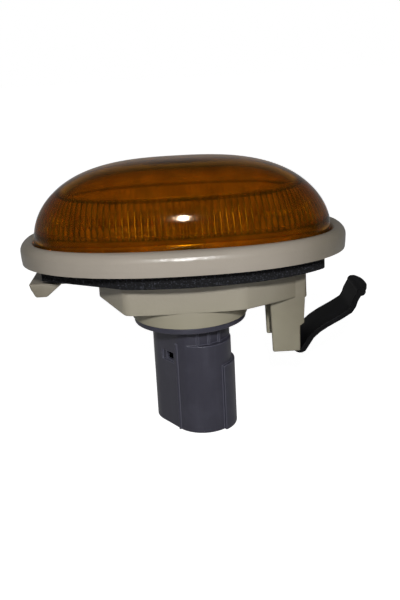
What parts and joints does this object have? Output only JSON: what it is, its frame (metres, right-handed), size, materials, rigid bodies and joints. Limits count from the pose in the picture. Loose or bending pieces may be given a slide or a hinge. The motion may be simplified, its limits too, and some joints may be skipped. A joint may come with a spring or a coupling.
{
  "type": "side repeater lamp",
  "caption": "Oval side repeater lamp with a fluted amber lens on a moulded housing, a foam gasket, a hook and a spring clip behind the panel, and a bulb holder with a plug connector.",
  "frame": {"origin": "centre of the cut-out, on the outer face of the body panel, where the underside of the gasket rests", "axes": "+Z points out of the panel through the lens, +X runs along the lamp from the hook to the spring clip, +Y completes a right-handed set"},
  "size_m": [0.087, 0.049, 0.0692],
  "materials": {
    "amber_lens": "clear amber acrylic, glossy outside, fluted inside",
    "cream_plastic": "cream moulded nylon with a faint sheen",
    "foam": "open-cell foam, matte and speckled",
    "black_clip": "black acetal, semi-matte",
    "grey_plastic": "blue-grey moulded nylon, satin",
    "seal_rubber": "soft rubber, matte",
    "terminal_brass": "stamped brass strip",
    "bulb_clear": "clear thin glass",
    "filament_wire": "dark tungsten wire",
    "lead_wire": "drawn nickel wire"
  },
  "bodies": {
    "root": {"lens": "amber_lens", "housing": "cream_plastic", "gasket": "foam", "spring_clip": "black_clip", "bulb_holder": "grey_plastic", "holder_seal": "seal_rubber", "terminal_left": "terminal_brass", "terminal_right": "terminal_brass", "bulb_glass": "bulb_clear", "bulb_filament": "filament_wire", "bulb_lead_left": "lead_wire", "bulb_lead_right": "lead_wire"}
  },
  "joints": []
}
